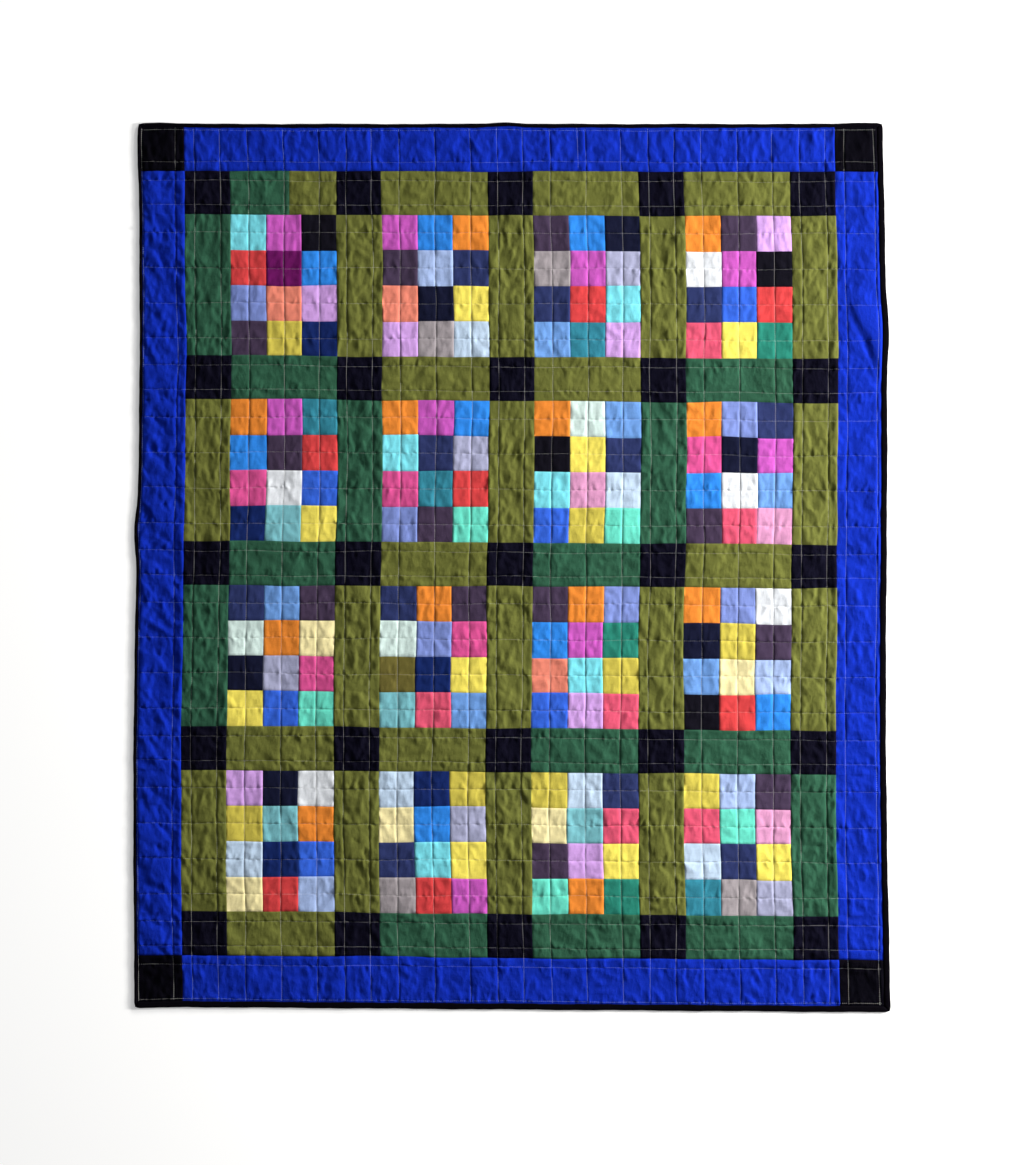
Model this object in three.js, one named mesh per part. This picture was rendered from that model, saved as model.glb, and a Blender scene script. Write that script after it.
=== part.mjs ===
// Patchwork quilt, laid flat and face up. Millimetres, +Z up, +X across, +Y towards the top edge.
// The origin is the middle of the underside. The quilted body is one filled solid: pieced top,
// wadding and backing, drawn down along every row of quilting and crowned between the rows. Its rim is
// a thin tongue that four folded binding strips wrap round, mitred at the corners.
import * as THREE from "three";

// ---- the pieced top, as cut and sewn ----
const PATCH = { w: 63.3, h: 63.0 }; // one small square, finished
const SASH = { w: 80.6, h: 78.1 }; // lattice strips: upright ones are w wide, level ones h high
const BLOCKS = { across: 4, down: 4 };
const PATCHES = { across: 3, down: 4 }; // squares in one block
// from the lattice to the outer edge, binding included
const BORDER = { left: 85.7, right: 88.5, top: 85.6, bottom: 93.6 };
// visible width of the binding on each side
const BINDING = { left: 7.5, right: 11.0, top: 8.0, bottom: 12.0 };

// ---- rows of quilting ----
const ROW_IN_SASH = 17.4; // a row runs this far inside each edge of a lattice strip
const ROW_IN_BORDER = 16.2; // and this far outside the lattice in the border
const ROW_AT_EDGE = { left: 1.5, right: 7.0, top: 5.0, bottom: 4.0 }; // inside the binding's seam

// ---- thickness ----
const AT_ROW = 2.6; // sewn down
const RISE = 3.3; // crown over that in a full-size cell
const UNEVEN = 0.55; // how much the crowns differ
const TONGUE = { low: 1.2, high: 2.6, inset: 1.6 }; // the flattened rim inside the binding
const WRAP = { back: 0.9, front: 2.9, top: 4.0, inset: 1.3 }; // the folded strip round it
const CLEAR = 0.3; // between neighbouring pieces

// ---- how the real thing lies: slightly wider and longer at one end, with a lean and soft bulges ----
const TAPER = { lattice: 0.005, border: 0.003 };
const SKEW = 5.0;
const LEAN = { by: 3.1, over: 660 };
const BULGES = [
  { side: "left", at: 57, out: 5.5, half: 42 },
  { side: "left", at: 742, out: 2.0, half: 50 },
  { side: "right", at: 422, out: 4.0, half: 55 },
  { side: "top", at: -7, out: 3.0, half: 34 },
  { side: "top", at: -628, out: 2.5, half: 48 },
  { side: "top", at: 640, out: 2.5, half: 48 },
  { side: "bottom", at: -650, out: 2.5, half: 40 },
];
const BULGE_REACH = 40; // how far inwards a bulge is felt
// raised creases in the top, as a line with a height
const CREASES = [
  { u0: 596, v0: 448, u1: 652, v1: 352, high: 5.5, half: 15 },
  { u0: -72, v0: 764, u1: -50, v1: 728, high: 2.5, half: 12 },
];

// ---- sizes worked out from those ----
const LATTICE = {
  w: (BLOCKS.across + 1) * SASH.w + BLOCKS.across * PATCHES.across * PATCH.w,
  h: (BLOCKS.down + 1) * SASH.h + BLOCKS.down * PATCHES.down * PATCH.h,
};
const SIZE = {
  w: LATTICE.w + BORDER.left + BORDER.right,
  h: LATTICE.h + BORDER.top + BORDER.bottom,
};
const EDGE = {
  left: -SIZE.w / 2,
  right: SIZE.w / 2,
  top: SIZE.h / 2,
  bottom: -SIZE.h / 2,
};
const MIDDLE = { x: 0.741, y: -1.306 }; // middle of the laid outline, moved to the origin

// Where the rows of quilting cross one direction, counted up from the low edge.
function rows(low, high, borderLow, edgeLow, edgeHigh, bindLow, bindHigh, sash, patch, blocks, patches) {
  const at = [low + bindLow + edgeLow];
  let seam = low + borderLow;
  at.push(seam - ROW_IN_BORDER);
  for (let b = 0; b <= blocks; b++) {
    at.push(seam + ROW_IN_SASH, seam + sash - ROW_IN_SASH);
    seam += sash;
    if (b < blocks)
      for (let p = 0; p < patches; p++) {
        at.push(seam + patch / 2);
        seam += patch;
      }
  }
  at.push(seam + ROW_IN_BORDER, high - bindHigh - edgeHigh);
  return at;
}
const ROWS_U = rows(
  EDGE.left, EDGE.right, BORDER.left, ROW_AT_EDGE.left, ROW_AT_EDGE.right,
  BINDING.left, BINDING.right, SASH.w, PATCH.w, BLOCKS.across, PATCHES.across,
);
const ROWS_V = rows(
  EDGE.bottom, EDGE.top, BORDER.bottom, ROW_AT_EDGE.bottom, ROW_AT_EDGE.top,
  BINDING.bottom, BINDING.top, SASH.h, PATCH.h, BLOCKS.down, PATCHES.down,
);

// Takes a point of the quilt as sewn, (u, v), to where it lies.
function place(u, v) {
  const t = v / (SIZE.h / 2);
  const past = Math.min(Math.max((Math.abs(u) - LATTICE.w / 2) / 87, 0), 1);
  let x = u * (1 - t * (TAPER.lattice + TAPER.border * past));
  let y = v - SKEW * (u / (SIZE.w / 2)) * (1 - Math.pow((v + SIZE.h / 2) / SIZE.h, 3));
  x += LEAN.by * Math.sin((Math.PI * v) / LEAN.over);
  for (const b of BULGES) {
    const upright = b.side === "left" || b.side === "right";
    const along = ((upright ? v : u) - b.at) / b.half;
    const inside = Math.abs((upright ? u : v) - EDGE[b.side]);
    const push = b.out * Math.exp(-along * along) * Math.exp(-inside / BULGE_REACH);
    if (b.side === "left") x -= push;
    if (b.side === "right") x += push;
    if (b.side === "top") y += push;
    if (b.side === "bottom") y -= push;
  }
  return [x - MIDDLE.x, y - MIDDLE.y];
}

// Extra height of the creases at (u, v).
function crease(u, v) {
  let z = 0;
  for (const c of CREASES) {
    const du = c.u1 - c.u0, dv = c.v1 - c.v0;
    const t = Math.min(Math.max(((u - c.u0) * du + (v - c.v0) * dv) / (du * du + dv * dv), 0), 1);
    const far = Math.hypot(u - c.u0 - t * du, v - c.v0 - t * dv) / c.half;
    z += c.high * Math.exp(-far * far);
  }
  return z;
}

// A repeatable unevenness from -1 to 1 for cell (i, j).
const uneven = (i, j) => Math.sin(i * 12.9898 + j * 78.233 + 1.7);

// Collects triangles and turns them into one closed geometry.
class Shell {
  constructor() {
    this.points = [];
    this.faces = [];
  }
  point(u, v, z) {
    const [x, y] = place(u, v);
    this.points.push(x, y, z);
    return this.points.length / 3 - 1;
  }
  tri(a, b, c) {
    this.faces.push(a, b, c);
  }
  quad(a, b, c, d) {
    this.faces.push(a, b, c, a, c, d);
  }
  geometry() {
    const g = new THREE.BufferGeometry();
    g.setAttribute("position", new THREE.Float32BufferAttribute(this.points, 3));
    g.setIndex(this.faces);
    g.computeVertexNormals();
    return g;
  }
}

// ---- the quilted body ----
function body() {
  const s = new Shell();
  const grid = (low, high, bindLow, bindHigh, at) => [
    low + TONGUE.inset, low + bindLow + CLEAR, ...at,
    high - bindHigh - CLEAR, high - TONGUE.inset,
  ];
  const U = grid(EDGE.left, EDGE.right, BINDING.left, BINDING.right, ROWS_U);
  const V = grid(EDGE.bottom, EDGE.top, BINDING.bottom, BINDING.top, ROWS_V);
  const nu = U.length, nv = V.length;
  const outer = (i, j) => i === 0 || j === 0 || i === nu - 1 || j === nv - 1;
  const rim = (i, j) => i <= 1 || j <= 1 || i >= nu - 2 || j >= nv - 2;

  const top = U.map((u, i) =>
    V.map((v, j) =>
      s.point(u, v, rim(i, j) ? TONGUE.high : AT_ROW + crease(u, v)),
    ),
  );
  const under = U.map((u, i) => V.map((v, j) => (outer(i, j) ? -1 : s.point(u, v, 0))));
  const lifted = U.map((u, i) => V.map((v, j) => (rim(i, j) ? s.point(u, v, TONGUE.low) : -1)));

  const full = Math.min(PATCH.w, PATCH.h);
  for (let i = 0; i < nu - 1; i++)
    for (let j = 0; j < nv - 1; j++) {
      const a = top[i][j], b = top[i + 1][j], c = top[i + 1][j + 1], d = top[i][j + 1];
      const thin = i <= 1 || j <= 1 || i >= nu - 3 || j >= nv - 3;
      if (thin) s.quad(a, b, c, d);
      else {
        const span = Math.min(U[i + 1] - U[i], V[j + 1] - V[j]) / full;
        const u = (U[i] + U[i + 1]) / 2, v = (V[j] + V[j + 1]) / 2;
        const z = AT_ROW + RISE * Math.sqrt(span) + UNEVEN * uneven(i, j) + crease(u, v);
        const m = s.point(u, v, z);
        s.tri(a, b, m);
        s.tri(b, c, m);
        s.tri(c, d, m);
        s.tri(d, a, m);
      }
      const tongue = i === 0 || j === 0 || i === nu - 2 || j === nv - 2;
      const low = tongue ? lifted : under;
      s.quad(low[i][j], low[i][j + 1], low[i + 1][j + 1], low[i + 1][j]);
    }

  // the rim's outer face, and the step up behind the binding's back edge
  const round = (from) => {
    const ring = [];
    const iHigh = nu - 1 - from, jHigh = nv - 1 - from;
    for (let i = from; i < iHigh; i++) ring.push([i, from]);
    for (let j = from; j < jHigh; j++) ring.push([iHigh, j]);
    for (let i = iHigh; i > from; i--) ring.push([i, jHigh]);
    for (let j = jHigh; j > from; j--) ring.push([from, j]);
    return ring;
  };
  const wall = (ring, low, high) => {
    for (let k = 0; k < ring.length; k++) {
      const [i, j] = ring[k], [p, q] = ring[(k + 1) % ring.length];
      s.quad(low[i][j], low[p][q], high[p][q], high[i][j]);
    }
  };
  wall(round(0), lifted, top);
  wall(round(1), under, lifted);
  return s.geometry();
}

// ---- one binding strip: a folded strip of cloth, C-shaped in section, mitred at both ends ----
function binding(side) {
  const s = new Shell();
  const wide = BINDING[side];
  const upright = side === "left" || side === "right";
  const [lowSide, highSide] = upright ? ["bottom", "top"] : ["left", "right"];
  const mitre = CLEAR * 0.85;
  // depth in from the outer edge, and height
  const section = [
    [wide, 0], [1.2, 0], [0.2, 0.7], [0, 2.0], [0.4, 3.4], [1.6, WRAP.top],
    [wide - 0.8, WRAP.top], [wide, 3.4], [wide, WRAP.front],
    [WRAP.inset, WRAP.front], [WRAP.inset, WRAP.back], [wide, WRAP.back],
  ];
  const stations = [null, ...(upright ? ROWS_V : ROWS_U), null];
  const at = (k, [depth, z]) => {
    let along = stations[k];
    if (k === 0) along = EDGE[lowSide] + (depth * BINDING[lowSide]) / wide + mitre;
    if (k === stations.length - 1) along = EDGE[highSide] - (depth * BINDING[highSide]) / wide - mitre;
    const across = EDGE[side] + (side === "left" || side === "bottom" ? depth : -depth);
    return upright ? s.point(across, along, z) : s.point(along, across, z);
  };
  const rings = stations.map((_, k) => section.map((p) => at(k, p)));
  const n = section.length;
  const flip = side === "right" || side === "bottom"; // keeps every face outwards
  const face = (a, b, c) => (flip ? s.tri(a, c, b) : s.tri(a, b, c));
  for (let k = 0; k < rings.length - 1; k++)
    for (let m = 0; m < n; m++) {
      const a = rings[k][m], b = rings[k + 1][m];
      const c = rings[k + 1][(m + 1) % n], d = rings[k][(m + 1) % n];
      face(a, c, b);
      face(a, d, c);
    }
  const flat = section.map(([d, z]) => new THREE.Vector2(-d, z));
  const ends = THREE.ShapeUtils.triangulateShape(flat, []);
  const last = rings[rings.length - 1];
  for (const [a, b, c] of ends) {
    // triangles that turn the same way as the section
    const turn = (flat[b].x - flat[a].x) * (flat[c].y - flat[a].y) - (flat[c].x - flat[a].x) * (flat[b].y - flat[a].y);
    const [p, q, r] = turn > 0 ? [a, b, c] : [a, c, b];
    face(rings[0][p], rings[0][r], rings[0][q]);
    face(last[p], last[q], last[r]);
  }
  return s.geometry();
}

const cotton = (name, colour, roughness) =>
  new THREE.MeshStandardMaterial({ name, color: new THREE.Color(colour), roughness, metalness: 0 });

const quilt = new THREE.Group();
quilt.name = "quilt";

const quilted = new THREE.Mesh(body(), cotton("pieced cotton", "#5d6230", 0.92));
quilted.name = "quilted_body";
quilt.add(quilted);

for (const side of ["top", "right", "bottom", "left"]) {
  const strip = new THREE.Mesh(binding(side), cotton("binding cotton", "#0b0b12", 0.9));
  strip.name = "binding_" + side;
  quilt.add(strip);
}

export default quilt;
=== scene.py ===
import math

import bpy
import numpy as np
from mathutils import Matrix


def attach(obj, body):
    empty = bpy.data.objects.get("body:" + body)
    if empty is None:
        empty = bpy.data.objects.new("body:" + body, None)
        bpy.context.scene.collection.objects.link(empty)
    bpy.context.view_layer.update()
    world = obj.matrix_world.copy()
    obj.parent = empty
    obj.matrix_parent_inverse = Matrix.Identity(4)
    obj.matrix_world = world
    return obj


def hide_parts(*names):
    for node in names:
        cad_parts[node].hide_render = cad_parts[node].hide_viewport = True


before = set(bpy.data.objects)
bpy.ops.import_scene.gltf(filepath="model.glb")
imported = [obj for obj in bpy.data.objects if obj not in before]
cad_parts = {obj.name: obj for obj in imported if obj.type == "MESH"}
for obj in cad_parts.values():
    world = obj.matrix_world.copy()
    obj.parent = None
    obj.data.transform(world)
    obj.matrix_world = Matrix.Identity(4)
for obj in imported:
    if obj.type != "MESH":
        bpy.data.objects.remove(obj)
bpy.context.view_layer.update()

MM = 0.001
SCENE = bpy.context.scene

# ---------------------------------------------------------------- sizes, in millimetres
PATCH_W, PATCH_H = 63.3, 63.0  # one small square, finished
SASH_W, SASH_H = 80.6, 78.1  # lattice strips: upright ones W wide, level ones H high
BORDER = dict(left=85.7, right=88.5, top=85.6, bottom=93.6)  # lattice to outer edge
BINDING = dict(left=7.5, right=11.0, top=8.0, bottom=12.0)  # seen width of the binding
ROW_IN_SASH, ROW_IN_BORDER = 17.4, 16.2
ROW_AT_EDGE = dict(left=1.5, right=7.0, top=5.0, bottom=4.0)
AT_ROW = 2.6  # height of the top on an upright row
DIP, DIP_LEVEL, CROWN = 1.05, 0.75, 0.75  # groove of a row, share of it on a level row, and crown
TAPER_LATTICE, TAPER_BORDER, SKEW, LEAN_BY, LEAN_OVER = 0.005, 0.003, 5.0, 3.1, 660.0
BULGES = [
    dict(side="left", at=57, out=5.5, half=42),
    dict(side="left", at=742, out=2.0, half=50),
    dict(side="right", at=422, out=4.0, half=55),
    dict(side="top", at=-7, out=3.0, half=34),
    dict(side="top", at=-628, out=2.5, half=48),
    dict(side="top", at=640, out=2.5, half=48),
    dict(side="bottom", at=-650, out=2.5, half=40),
]
BULGE_REACH = 40.0
# creases in the top: a line, its height, its half width on the left and right of the line, and
# whether its sides are straight
CREASES = [
    dict(u0=597, v0=468, u1=652, v1=336, high=-1.9, left=2.6, right=9.0),
    dict(u0=614, v0=482, u1=654, v1=392, high=6.6, left=24.0, right=30.0, straight=True),
    dict(u0=653, v0=422, u1=655, v1=328, high=5.4, left=20.0, right=6.0, straight=True),
    dict(u0=590, v0=460, u1=644, v1=340, high=1.1, left=12.0, right=3.2),
    dict(u0=612, v0=468, u1=622, v1=432, high=1.2, left=4.0, right=5.0),
    dict(u0=-72, v0=764, u1=-50, v1=728, high=1.8, left=8.0, right=4.0),
    dict(u0=-30, v0=765, u1=-18, v1=735, high=1.2, left=6.0, right=4.0),
]
# little else wrinkles the cloth beside the long crease
CALM = dict(u0=612, v0=474, u1=652, v1=356, half=24.0)
# a short row of quilting, beside the others, across the top border only
SHORT_ROW = dict(at=120.8, low=708.0)
MIDDLE_X, MIDDLE_Y = 0.741, -1.306
LAT_W, LAT_H = 5 * SASH_W + 12 * PATCH_W, 5 * SASH_H + 16 * PATCH_H
W = LAT_W + BORDER["left"] + BORDER["right"]
H = LAT_H + BORDER["top"] + BORDER["bottom"]
EDGE = dict(left=-W / 2, right=W / 2, top=H / 2, bottom=-H / 2)
CORNER = 11.0  # the outer corners are rounded about this much
TUCK = 3.0  # the top goes this far under the binding
CELL = 1.6  # grid of the wrinkle fields


def place(u, v):
    """From the quilt as sewn, (u, v), to where it lies, in millimetres."""
    a, b = W / 2 - np.abs(u), H / 2 - np.abs(v)
    p, q = np.clip(1 - a / CORNER, 0, 1), np.clip(1 - b / CORNER, 0, 1)
    most, far = np.maximum(p, q), np.hypot(p, q)
    pull = np.where(far > 1e-9, 1 - 0.75 * (1 - most / np.maximum(far, 1e-9)), 1.0)
    inner = (p > 0) & (q > 0)
    u = np.where(inner, np.sign(u) * (W / 2 - CORNER + CORNER * p * pull), u)
    v = np.where(inner, np.sign(v) * (H / 2 - CORNER + CORNER * q * pull), v)
    t = v / (H / 2)
    past = np.clip((np.abs(u) - LAT_W / 2) / 87, 0, 1)
    x = u * (1 - t * (TAPER_LATTICE + TAPER_BORDER * past))
    y = v - SKEW * (u / (W / 2)) * (1 - ((v + H / 2) / H) ** 3)
    x = x + LEAN_BY * np.sin(math.pi * v / LEAN_OVER)
    for b in BULGES:
        upright = b["side"] in ("left", "right")
        along = ((v if upright else u) - b["at"]) / b["half"]
        inside = np.abs((u if upright else v) - EDGE[b["side"]])
        push = b["out"] * np.exp(-along * along) * np.exp(-inside / BULGE_REACH)
        if b["side"] == "left":
            x = x - push
        elif b["side"] == "right":
            x = x + push
        elif b["side"] == "top":
            y = y + push
        else:
            y = y - push
    return x - MIDDLE_X, y - MIDDLE_Y


# ---------------------------------------------------------------- seams and rows of quilting
def lines(low, high, border, at_edge, bind, sash, patch, per_block):
    """Seams and rows of quilting across one direction, as [(position, kind)]."""
    out = [(low + bind[0] + at_edge[0], "row"), (low + border - ROW_IN_BORDER, "row")]
    s = low + border
    out.append((s, "seam"))
    for b in range(5):
        out += [(s + ROW_IN_SASH, "row"), (s + sash - ROW_IN_SASH, "row")]
        s += sash
        out.append((s, "seam"))
        if b < 4:
            for _ in range(per_block):
                out += [(s + patch / 2, "row"), (s + patch, "seam")]
                s += patch
    out += [(s + ROW_IN_BORDER, "row"), (high - bind[1] - at_edge[1], "row")]
    return sorted(out)


LINES_U = lines(
    EDGE["left"], EDGE["right"], BORDER["left"], (ROW_AT_EDGE["left"], ROW_AT_EDGE["right"]),
    (BINDING["left"], BINDING["right"]), SASH_W, PATCH_W, 3,
)
LINES_V = lines(
    EDGE["bottom"], EDGE["top"], BORDER["bottom"], (ROW_AT_EDGE["bottom"], ROW_AT_EDGE["top"]),
    (BINDING["bottom"], BINDING["top"]), SASH_H, PATCH_H, 4,
)
ROWS_U = np.array([p for p, k in LINES_U if k == "row"])
ROWS_V = np.array([p for p, k in LINES_V if k == "row"])
SEAMS_U = np.array([p for p, k in LINES_U if k == "seam"])
SEAMS_V = np.array([p for p, k in LINES_V if k == "seam"])
IN_U = (EDGE["left"] + BINDING["left"], EDGE["right"] - BINDING["right"])
IN_V = (EDGE["bottom"] + BINDING["bottom"], EDGE["top"] - BINDING["top"])
HELD_U = np.array([IN_U[0], *ROWS_U, IN_U[1]])  # where the layers are held together
HELD_V = np.array([IN_V[0], *ROWS_V, IN_V[1]])


def stations(low, high, marks, step, near):
    """Grid positions: every mark, a few close beside it, and even steps between."""
    marks = [(low, "edge"), *marks, (high, "edge")]
    out = [low]
    for (a, ka), (b, kb) in zip(marks, marks[1:]):
        gap = b - a
        left = [a + d for d in near[ka] if d < gap * 0.3]
        right = [b - d for d in near[kb] if d < gap * 0.3][::-1]
        p, q = (left or [a])[-1], (right or [b])[0]
        n = max(1, int(round((q - p) / step)))
        out += left + [p + (q - p) * k / n for k in range(1, n)] + right + [b]
    return np.array(out)


NEAR = {"row": (1.0, 2.5), "seam": (1.1,), "edge": ()}
U = stations(IN_U[0] - TUCK, IN_U[1] + TUCK, LINES_U, 2.35, NEAR)
V = stations(IN_V[0] - TUCK, IN_V[1] + TUCK, LINES_V, 3.8, NEAR)

# ---------------------------------------------------------------- repeatable unevenness
FIELD = (int(H / CELL) + 2, int(W / CELL) + 2)


def softened(field, wave):
    """The field, soft over about wave millimetres."""
    ky = np.fft.fftfreq(FIELD[0], CELL)[:, None]
    kx = np.fft.rfftfreq(FIELD[1], CELL)[None]
    return np.fft.irfft2(np.fft.rfft2(field) * np.exp(-1.2 * (kx**2 + ky**2) * wave**2), s=FIELD)


def soft_noise(wave, seed):
    """Noise with a spread of 1 over the quilt, soft over about wave millimetres."""
    out = softened(np.random.default_rng(seed).standard_normal(FIELD), wave)
    return out / out.std()


def look_up(field, u, v):
    """A field's value at (u, v)."""
    fx = np.clip((u - EDGE["left"]) / CELL, 0, FIELD[1] - 1.001)
    fy = np.clip((v - EDGE["bottom"]) / CELL, 0, FIELD[0] - 1.001)
    i, j = fx.astype(int), fy.astype(int)
    a, b = fx - i, fy - j
    return (field[j, i] * (1 - a) * (1 - b) + field[j, i + 1] * a * (1 - b)
            + field[j + 1, i] * (1 - a) * b + field[j + 1, i + 1] * a * b)


def drawn_noise(wave, longer, angle, seed):
    """The same, but longer along angle than across it."""
    ky = np.fft.fftfreq(FIELD[0], CELL)[:, None]
    kx = np.fft.rfftfreq(FIELD[1], CELL)[None]
    along, across = kx * math.cos(angle) + ky * math.sin(angle), ky * math.cos(angle) - kx * math.sin(angle)
    k2 = (along * longer) ** 2 + across**2
    n = np.fft.rfft2(np.random.default_rng(seed).standard_normal(FIELD))
    out = np.fft.irfft2(n * np.sqrt(k2) * np.exp(-1.6 * k2 * wave**2), s=FIELD)
    return out / out.std()


def turned_noise(wave, longer, lean, seed):
    """The same with a direction that wanders: lean is 1 where it is mostly upright, -1 mostly level."""
    out, total = 0.0, 0.0
    for m in range(4):
        angle = math.pi * m / 4
        share = np.exp(1.6 * (soft_noise(34, seed + 20 + m) - 1.3 * lean * math.cos(2 * angle)))
        out = out + share * drawn_noise(wave, longer, angle, seed + m)
        total = total + share * share
    return out / np.sqrt(total)


def gathers(along, across, rows, gap, reach, width, tilt, seed):
    """Short ridges that run off both sides of every row, about gap apart, dying away over reach:
    an array (len(across), len(along)) of heights of about 1."""
    r = np.random.default_rng(seed)
    out = np.zeros((len(across), len(along)))
    span = along[-1] - along[0]
    for row in rows:
        for side in (-1, 1):
            s = along[0] + np.cumsum(r.gamma(2.6, gap / 2.6, int(span / gap * 1.4)))
            s = s[s < along[-1]]
            knots = np.arange(0, span + 60, 60)
            mood = np.interp(s - along[0], knots, r.uniform(0.15, 1.5, len(knots)))
            high = r.uniform(0.3, 1.3, len(s)) * mood
            lean = r.normal(0, tilt, len(s))
            wide = width * r.uniform(0.8, 1.3, len(s))
            far = reach * r.gamma(3, 1 / 3, len(s)) + 1.5
            for j in np.nonzero((side * (across - row) >= 0) & (side * (across - row) < 28))[0]:
                d = abs(across[j] - row)
                x = (along[:, None] - s - lean * d) / wide
                out[j] += (np.exp(-x * x) * (high * np.exp(-((d / far) ** 1.4)))).sum(1)
    return out


def beside(x, at):
    """Distance from each x to the nearest of at, and half the gap that it lies in."""
    k = np.clip(np.searchsorted(at, x), 1, len(at) - 1)
    lo, hi = at[k - 1], at[k]
    inside = (x >= at[0]) & (x <= at[-1])
    return np.minimum(np.abs(x - lo), np.abs(hi - x)), np.where(inside, (hi - lo) / 2, 12.0)


def wander(marks, along, amount, seed):
    """How far each seam or row strays from its line, as an array (marks, along)."""
    r = np.random.default_rng(seed)
    out = np.zeros((len(marks), len(along)))
    for m in range(len(marks)):
        for wave, share in ((520, 0.9), (230, 0.7), (95, 0.42)):
            out[m] += share * math.sqrt(2) * np.sin(
                2 * math.pi * along / (wave * r.uniform(0.8, 1.25)) + r.uniform(0, 6.28)
            ) * r.uniform(0.5, 1.0)
    return out * amount


def jogs(at, along, cross, amount, seed):
    """Small steps where a seam between squares doesn't meet the next one."""
    r = np.random.default_rng(seed)
    span = np.searchsorted(cross, along, side="left")
    return np.array([(r.uniform(-1, 1, len(cross) + 1) * amount)[span] for _ in at])


def spread(marks, strayed, x):
    """What the marks stray by, carried over to every position between them: (len(x), along)."""
    marks = np.asarray(marks)
    k = np.clip(np.searchsorted(marks, x), 1, len(marks) - 1)
    f = np.clip((x - marks[k - 1]) / (marks[k] - marks[k - 1]), 0, 1)[:, None]
    return strayed[k - 1] * (1 - f) + strayed[k] * f


# every line's own wobble, plus small jogs in the seams between squares
MARKS_U = [IN_U[0] - TUCK, *[p for p, _ in LINES_U], IN_U[1] + TUCK]
MARKS_V = [IN_V[0] - TUCK, *[p for p, _ in LINES_V], IN_V[1] + TUCK]


def is_patch_seam(p, seams, sash, patch, per_block):
    k = int(np.argmin(np.abs(seams - p)))
    return abs(seams[k] - p) < 0.01 and k % (per_block + 1) not in (0, 1)


def strayings(marks, kinds, seams, cross, along, sash, patch, per_block, seed):
    row, seam = wander(marks, along, 0.55, seed), wander(marks, along, 0.4, seed + 1)
    jog = jogs(marks, along, cross, 0.75, seed + 2)
    out = np.zeros((len(marks), len(along)))
    for m, p in enumerate(marks):
        if kinds[m] == "row":
            out[m] = row[m]
        elif kinds[m] == "seam":
            out[m] = seam[m]
            if is_patch_seam(p, seams, sash, patch, per_block):
                out[m] += jog[m]
    return out


KINDS_U = ["edge", *[k for _, k in LINES_U], "edge"]
KINDS_V = ["edge", *[k for _, k in LINES_V], "edge"]
SHARED_U, SHARED_V = soft_noise(150, 31), soft_noise(150, 32)


def stray(u, v):
    """In-plane wobble at the grid of positions u by v: two arrays (len(v), len(u))."""
    du = spread(MARKS_U, strayings(MARKS_U, KINDS_U, SEAMS_U, SEAMS_V, v, SASH_W, PATCH_W, 3, 11), u).T
    dv = spread(MARKS_V, strayings(MARKS_V, KINDS_V, SEAMS_V, SEAMS_U, u, SASH_H, PATCH_H, 4, 21), v)
    gu, gv = np.meshgrid(u, v)
    rim = np.clip(np.minimum(W / 2 - np.abs(gu), H / 2 - np.abs(gv)) / 60, 0, 1)
    return du + 0.6 * rim * look_up(SHARED_U, gu, gv), dv + 0.6 * rim * look_up(SHARED_V, gu, gv)


# ---------------------------------------------------------------- wrinkles of the top
gu = EDGE["left"] + CELL * np.arange(FIELD[1])
gv = EDGE["bottom"] + CELL * np.arange(FIELD[0])


def in_strip(x, seams, per_block):
    k = np.searchsorted(seams, x)
    return ((k - 1) % (per_block + 1) == 0) & (k > 0) & (k < len(seams))


# the cloth of a lattice strip is drawn mostly along the strip
UPRIGHT, LEVEL = in_strip(gu, SEAMS_U, 3)[None], in_strip(gv, SEAMS_V, 4)[:, None]
LEAN = UPRIGHT.astype(float) - LEVEL
BORDER_ONLY = (np.abs(gu) > LAT_W / 2)[None] | (np.abs(gv) > LAT_H / 2)[:, None]
# the upright strips and the left side of the border lie in livelier folds than the rest
LIVELY = np.where(UPRIGHT, 2.1, np.where(LEVEL, 1.35, 0.82))
LIVELY = softened(np.where(BORDER_ONLY, np.where(gu[None] < -LAT_W / 2, 1.9, 1.3), LIVELY), 6)


def kept_within(field, most):
    return most * np.tanh(field / most)


def folds(count, seed, span_u=IN_U, span_v=IN_V, tilts=(-55, 55), size=1.0):
    """Creases, straight or a little bowed, each steep on one side and gentle on the other."""
    r = np.random.default_rng(seed)
    out = np.zeros(FIELD)
    for _ in range(count):
        u, v, chance = r.uniform(*span_u), r.uniform(*span_v), r.random()
        angle = math.radians(r.choice(tilts) + r.normal(0, 20 / size))
        length, high, bow = size * (12 + r.gamma(3, 7)), size * r.uniform(0.5, 1.5), r.normal(0, 0.10)
        steep, gentle = r.uniform(2.5, 3.4), size**0.7 * r.uniform(5, 9)
        to_right = r.random() < 0.72
        i, j = int((u - EDGE["left"]) / CELL), int((v - EDGE["bottom"]) / CELL)
        if chance > LIVELY[j, i] - 0.55:
            continue
        n = int((length / 2 + 14) / CELL)
        a0, a1, b0, b1 = max(i - n, 0), i + n + 1, max(j - n, 0), j + n + 1
        x, y = gu[None, a0:a1] - u, gv[b0:b1, None] - v
        t = (x * math.cos(angle) + y * math.sin(angle)) / length
        off = (x * abs(math.sin(angle)) - y * math.copysign(math.cos(angle), math.sin(angle))
               - bow * length * (4 * t * t - 1))
        half = np.where((off > 0) == to_right, steep, gentle)
        out[b0:b1, a0:a1] += high * np.cos(math.pi * np.clip(t, -0.5, 0.5)) ** 0.8 * np.exp(-((off / half) ** 2))
    return out


GATHER_LEVEL = kept_within(1.7 * LIVELY * gathers(gu, gv, ROWS_V, 9.0, 5.0, 2.4, 0.40, 81), 3.2)
GATHER_UPRIGHT = kept_within(0.7 * LIVELY * gathers(gv, gu, ROWS_U, 12.0, 5.0, 3.0, 0.30, 82).T, 1.6)
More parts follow.
